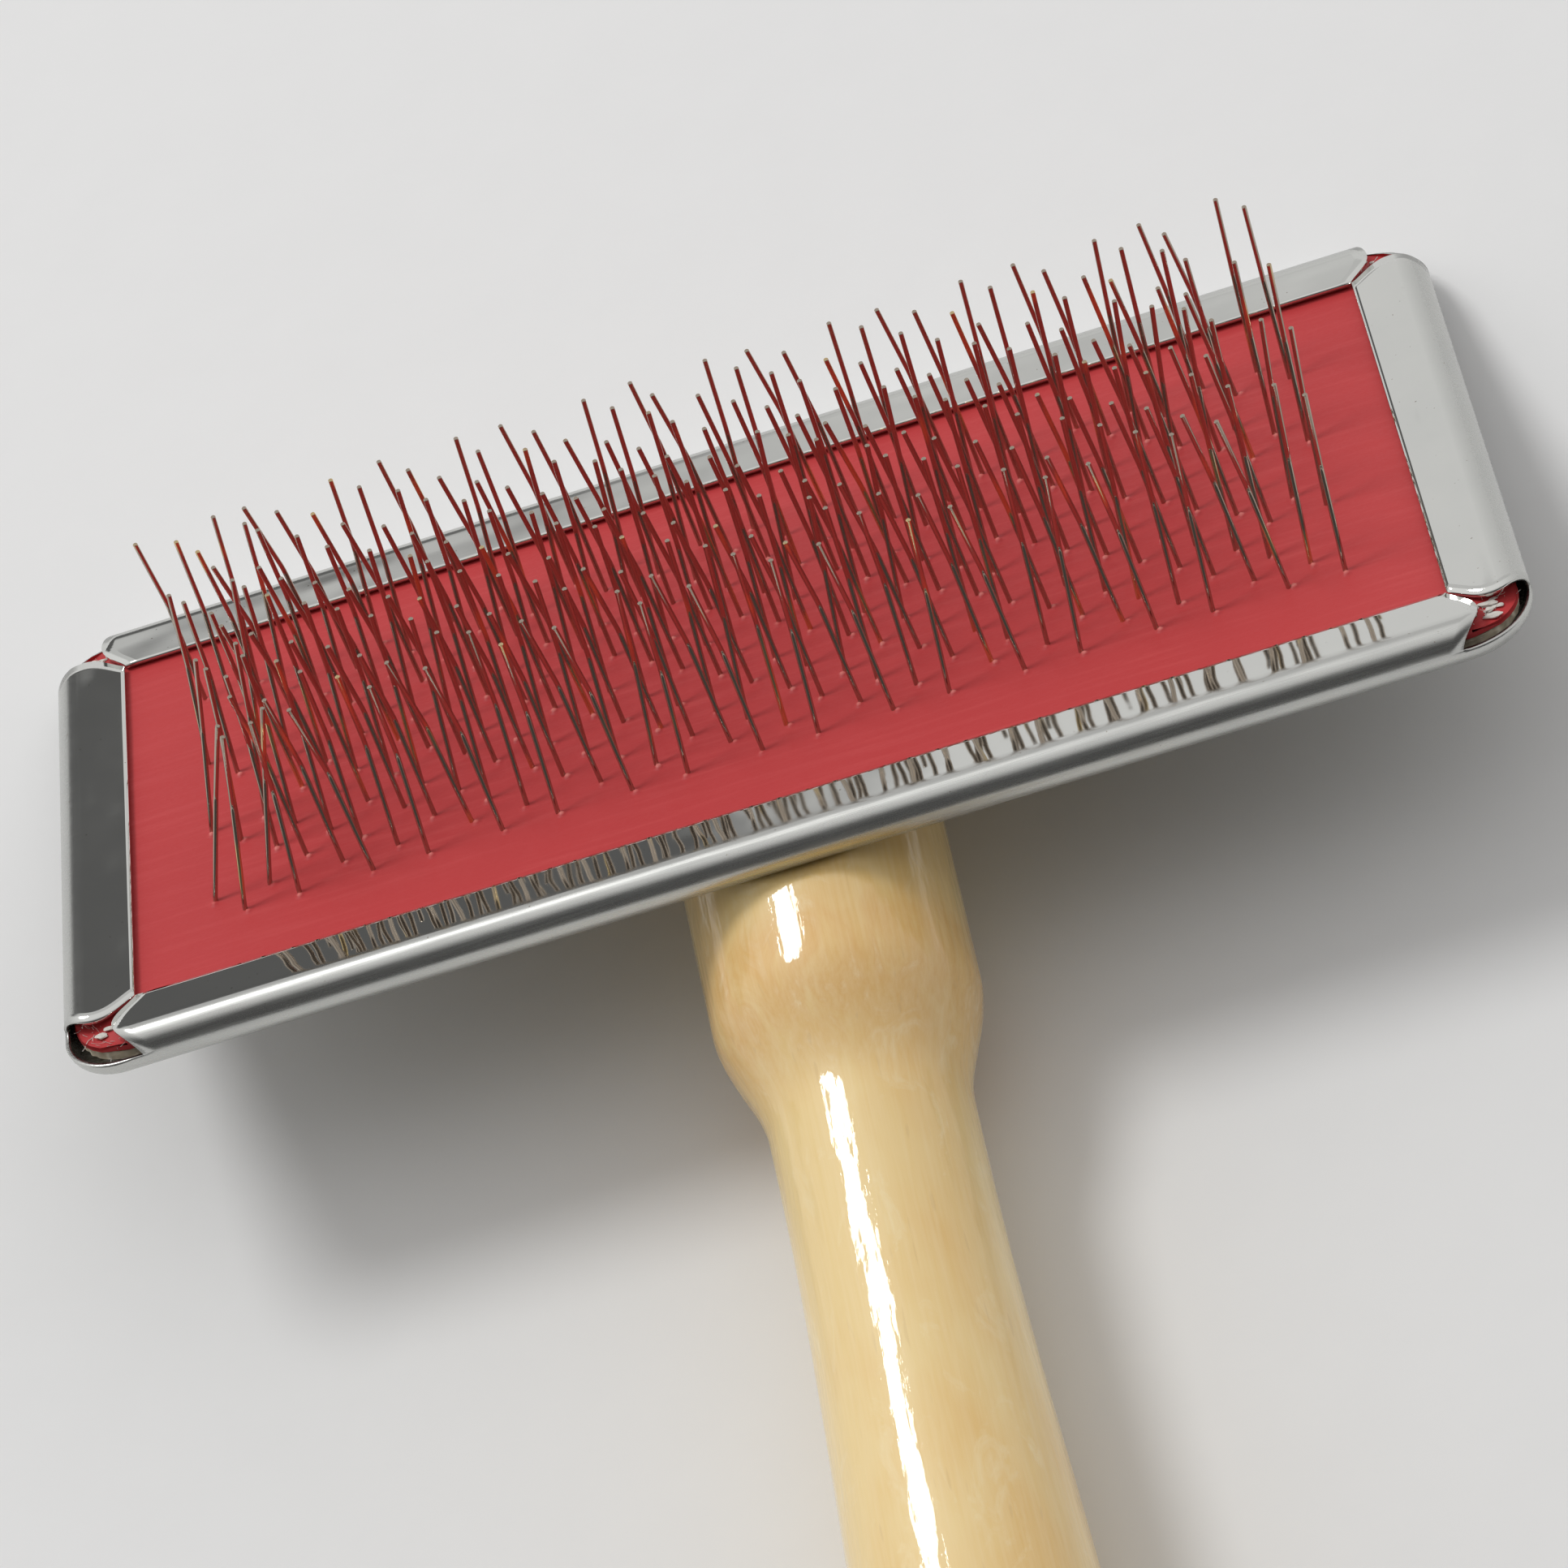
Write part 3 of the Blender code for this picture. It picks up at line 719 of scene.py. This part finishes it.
def sweep(bm, path, radius, sides, chamfer=0.0):
    """A round wire along a path, with its cut ends chamfered if a chamfer is given."""
    stations = [(point, radius) for point in path]
    if chamfer:
        for end, inner in ((0, 1), (-1, -2)):
            inward = (path[inner] - path[end]).normalized()
            point = path[end] + inward * chamfer
            stations.insert(1 if end == 0 else len(stations) - 1, (point, radius))
        stations[0] = (path[0], radius - chamfer)
        stations[-1] = (path[-1], radius - chamfer)
    rings = []
    side = None
    for i, (point, reach) in enumerate(stations):
        ahead = stations[min(i + 1, len(stations) - 1)][0] - stations[max(i - 1, 0)][0]
        tangent = ahead.normalized()
        side = tangent.orthogonal() if side is None else side - tangent * side.dot(tangent)
        side.normalize()
        up = tangent.cross(side)
        ring = []
        for step in range(sides):
            angle = 2 * math.pi * step / sides
            spoke = side * math.cos(angle) + up * math.sin(angle)
            ring.append(bm.verts.new(point + spoke * reach))
        rings.append(ring)
    for lower, upper in zip(rings, rings[1:]):
        bridge(bm, lower, upper, closed=True)
    bm.faces.new(rings[0][::-1])
    bm.faces.new(rings[-1])


def leaning(side_lean, lean, length):
    """A stretch of a pin that leans by degrees to the side and away from the handle."""
    way = Vector((math.tan(math.radians(side_lean)), math.tan(math.radians(lean)), 1))
    return way.normalized() * length


def leg(x, y, side_lean):
    """Foot, knee and tip of one pin, a little different each time."""
    side = side_lean + random.gauss(0, SIDE_SPREAD)
    foot = Vector((x, y, FACE_TOP))
    knee = foot + leaning(side, LOWER_LEAN + random.gauss(0, LOWER_SPREAD), LOWER_LEG)
    length = UPPER_LEG + random.uniform(-0.25, 0.05) * MM
    tip = knee + leaning(side, UPPER_LEAN + random.gauss(0, UPPER_SPREAD), length)
    return foot, knee, tip


def build_pin_row(row):
    """A row of staples. Under 45 degrees, the smooth angle leaves the cut ends' chamfers sharp."""
    name = "pin_row_%02d" % (row + 1)
    bm = bmesh.new()
    pins = row_pins(row)
    y = row_y(row)
    for (left_x, left_lean), (right_x, right_lean) in zip(pins[::2], pins[1::2]):
        left_foot, left_knee, left_tip = leg(left_x, y, left_lean)
        right_foot, right_knee, right_tip = leg(right_x, y, right_lean)
        points = [
            left_tip,
            left_knee,
            left_foot,
            Vector((left_x, y, CROWN_HEIGHT)),
            Vector((right_x, y, CROWN_HEIGHT)),
            right_foot,
            right_knee,
            right_tip,
        ]
        path = bent(points, BEND_REACH, steps=5)
        sweep(bm, path, WIRE_RADIUS, sides=12, chamfer=CUT_CHAMFER)
    wires = make_piece(name + "_wires", bm, HEAD, SPRING_WIRE, smooth_angle=38)
    attach(wires, name, "spring_wire", name)


def corner_place(sign_x, sign_y, inset, angle, reach, height):
    """A place by an open corner, at an angle and a reach from a point inset both ways."""
    x = HEAD_LENGTH / 2 - inset + reach * math.cos(angle)
    y = HEAD_WIDTH / 2 - inset + reach * math.sin(angle)
    return Vector((sign_x * x, sign_y * y, height))


def build_fibres():
    """Loose felt fibres in the four open corners of the head, most in the two near ones."""
    bm = bmesh.new()
    for sign_x, sign_y, count in ((-1, -1, 60), (-1, 1, 26), (1, -1, 60), (1, 1, 26)):
        for _ in range(count):
            angle = random.uniform(0.1, math.pi / 2 - 0.1)
            reach = random.uniform(2.6, 3.7) * MM
            height = random.uniform(1.0, 2.3) * MM
            path = [corner_place(sign_x, sign_y, 5.4 * MM, angle, reach, height)]
            out_x, out_y = random.uniform(-0.6, 0.8), random.uniform(-0.6, 0.8)
            rise = random.uniform(-0.4, 0.6)
            heading = Vector((sign_x * out_x, sign_y * out_y, rise)).normalized()
            for _ in range(6):
                kick = Vector([random.uniform(-0.5, 0.5) for _ in range(3)])
                heading = (heading + kick).normalized()
                path.append(path[-1] + heading * random.uniform(0.14, 0.30) * MM)
            sweep(bm, path, random.uniform(0.012, 0.028) * MM, sides=5)
    fibres = make_piece("corner_fibres", bm, HEAD, FELT, smooth_angle=60)
    attach(fibres, "head", "white_felt")


def build_lumps():
    """Small matted lumps of glue and felt that have squeezed out at the open corners."""
    bm = bmesh.new()
    for sign_x, sign_y, count in ((1, -1, 8), (-1, -1, 8), (1, 1, 3), (-1, 1, 3)):
        for _ in range(count):
            angle = random.uniform(0.35, math.pi / 2 - 0.35)
            reach = random.uniform(1.2, 3.2) * MM
            height = FACE_TOP - random.uniform(0.0, 0.25) * MM
            place = corner_place(sign_x, sign_y, 5.0 * MM, angle, reach, height)
            size = random.uniform(0.14, 0.34) * MM
            stretch = random.uniform(1.2, 2.6)
            lump = bmesh.ops.create_icosphere(bm, subdivisions=3, radius=size)["verts"]
            for vert in lump:
                vert.co *= 1 + 0.6 * wobble(vert.co + place, 3400)
                vert.co.x *= stretch
                vert.co.z *= 0.4
                vert.co += place
    lumps = make_piece("corner_lumps", bm, HEAD, FELT, smooth_angle=60)
    attach(lumps, "head", "white_felt")


# ---- Handle ---------------------------------------------------------------------------------


def body_radius(distance):
    """The handle's radius at a distance behind the point where its axis meets the steel back."""
    shoulder = smooth_step((distance - SHOULDER_START) / SHOULDER_LENGTH)
    swell = smooth_step((distance - NECK_END) / (SWELL_AT - NECK_END))
    narrowing = (FRONT_RADIUS - NECK_RADIUS) * shoulder
    return FRONT_RADIUS - narrowing + (SWELL_RADIUS - NECK_RADIUS) * swell


def handle_profile():
    """(distance, radius) along the handle from its rounded nose to its flat end."""
    points = []
    nose_steps, dome_steps = 16, 24
    for step in range(nose_steps + 1):
        angle = math.pi / 2 * step / nose_steps
        distance = -NOSE_START - NOSE_LENGTH * math.cos(angle)
        points.append((distance, FRONT_RADIUS * math.sin(angle)))
    for distance in spread(-NOSE_START, SWELL_AT, 0.8 * MM)[1:]:
        points.append((distance, body_radius(distance)))
    last_angle = math.acos(BUTT_RADIUS / SWELL_RADIUS)
    for step in range(1, dome_steps + 1):
        angle = last_angle * step / dome_steps
        points.append((SWELL_AT + DOME_LENGTH * math.sin(angle), SWELL_RADIUS * math.cos(angle)))
    points.append((points[-1][0], BUTT_RADIUS * 0.5))
    points.append((points[-1][0], 0.0))
    return points


def build_handle():
    """The turned handle, its front end cut to the head's slope, just under the steel back."""
    bm = bmesh.new()
    sides = 96
    rings = []
    for distance, radius in handle_profile():
        if radius < MM / 1000:
            rings.append([bm.verts.new((0, -distance, 0))])
            continue
        ring = []
        for step in range(sides):
            angle = 2 * math.pi * step / sides
            x, z = radius * math.sin(angle), radius * math.cos(angle)
            ring.append(bm.verts.new((x, -distance, z)))
        rings.append(ring)
    for lower, upper in zip(rings, rings[1:]):
        if len(lower) == 1 or len(upper) == 1:
            point, ring = (lower[0], upper) if len(lower) == 1 else (upper[0], lower)
            for i in range(sides):
                bm.faces.new((point, ring[i], ring[(i + 1) % sides]))
        else:
            bridge(bm, lower, upper, closed=True)
    into_handle = HANDLE.inverted() @ HEAD
    point = into_handle @ Vector((0, 0, -BEVEL_GAP))
    normal = into_handle.to_3x3() @ Vector((0, 0, 1))
    geometry = list(bm.verts) + list(bm.edges) + list(bm.faces)
    cut = bmesh.ops.bisect_plane(
        bm, geom=geometry, dist=1e-7, plane_co=point, plane_no=normal, clear_outer=True
    )
    edges = [item for item in cut["geom_cut"] if isinstance(item, bmesh.types.BMEdge)]
    bmesh.ops.contextual_create(bm, geom=edges)
    handle = make_piece("handle_wood", bm, HANDLE, WOOD, smooth_angle=40)
    attach(handle, "head", "lacquered_wood", "handle")


# ---- Put together ---------------------------------------------------------------------------

build_tray()
build_face()
foundation = build_layer(
    "pad_cloth",
    FACE_INSET,
    FOUNDATION_BASE,
    FOUNDATION_THICKNESS,
    FOUNDATION_FRAY,
    CLOTH,
    "foundation_cloth",
    "pad_foundation",
)
cushion = build_layer(
    "pad_felt",
    CUSHION_INSET,
    CUSHION_BASE,
    CUSHION_THICKNESS,
    CUSHION_FRAY,
    FELT,
    "white_felt",
    "pad_cushion",
)
for row in range(ROW_COUNT):
    build_pin_row(row)
build_fibres()
build_lumps()
build_handle()
for name in TACKS:
    tack = frame["nodes"][name]
    tack.data.materials.clear()
    tack.data.materials.append(TACK_STEEL)


# ---- Studio ---------------------------------------------------------------------------------


def oval_light(name, direction, distance, size, watts, colour):
    """A soft oval light that faces the brush, at a distance from it in a direction."""
    light = bpy.data.lights.new(name, "AREA")
    light.shape = "ELLIPSE"
    light.size, light.size_y = size
    light.energy = watts
    light.color = colour
    obj = bpy.data.objects.new(name, light)
    bpy.context.scene.collection.objects.link(obj)
    place = Vector(direction).normalized() * distance
    obj.location = place
    obj.rotation_euler = (-place).to_track_quat("-Z", "Y").to_euler()


def build_floor():
    """A wide sheet of paper, a hair below the brush."""
    bm = bmesh.new()
    half_size, drop = 3.0, 0.02 * MM
    bmesh.ops.create_grid(bm, x_segments=1, y_segments=1, size=half_size)
    floor = make_piece("floor", bm, Matrix.Translation((0, 0, -drop)), PAPER)


def build_world():
    """A pale room, dim in front, brighter on the left, and dark low in its far left corner."""
    world = bpy.data.worlds.new("studio")
    bpy.context.scene.world = world
    world.use_nodes = True
    tree = world.node_tree
    tree.nodes.clear()
    way = add(tree, "TexCoord").outputs["Generated"]
    x, y, z = add(tree, "SeparateXYZ", {0: way}).outputs
    room = remap(tree, y, -0.50, -0.08, 0.09, 0.76)
    side = remap(tree, x, -0.7, 0.8, 1.14, 1.0)
    room = maths(tree, "MULTIPLY", room, side)
    behind = remap(tree, y, 0.62, 0.72)
    low = remap(tree, z, 0.32, 0.27)
    right = remap(tree, x, -0.115, -0.075, 0.12, 0.74)
    wall = add(tree, "Mix", {0: low, 2: 0.62, 3: right}).outputs[0]
    strength = add(tree, "Mix", {0: behind, 2: room, 3: wall}).outputs[0]
    fill = add(tree, "Background", {"Color": (1.0, 0.995, 0.99, 1), "Strength": strength})
    pale = add(tree, "Background", {"Color": (0.76, 0.76, 0.76, 1), "Strength": 1.0})
    seen = add(tree, "LightPath").outputs["Is Camera Ray"]
    mixed = add(tree, "MixShader", {0: seen, 1: fill.outputs[0], 2: pale.outputs[0]})
    output = add(tree, "OutputWorld")
    tree.links.new(mixed.outputs[0], output.inputs["Surface"])


def build_camera():
    """The camera, in front of the brush, above it and to its right."""
    data = bpy.data.cameras.new("camera")
    data.sensor_width = 36.0
    data.lens = 162.1
    data.clip_start = 0.01
    camera = bpy.data.objects.new("camera", data)
    bpy.context.scene.collection.objects.link(camera)
    camera.location = Vector((49.71, -249.96, 449.13)) * MM
    camera.rotation_euler = Euler([math.radians(a) for a in (30.647, 13.720, -11.673)])
    bpy.context.scene.camera = camera


build_floor()
build_world()
build_camera()
oval_light("key", (-0.42, 0.50, 0.81), 2.0, (0.80, 0.50), 15.0, (1.0, 1.0, 0.995))
bpy.context.scene.view_settings.view_transform = "Standard"
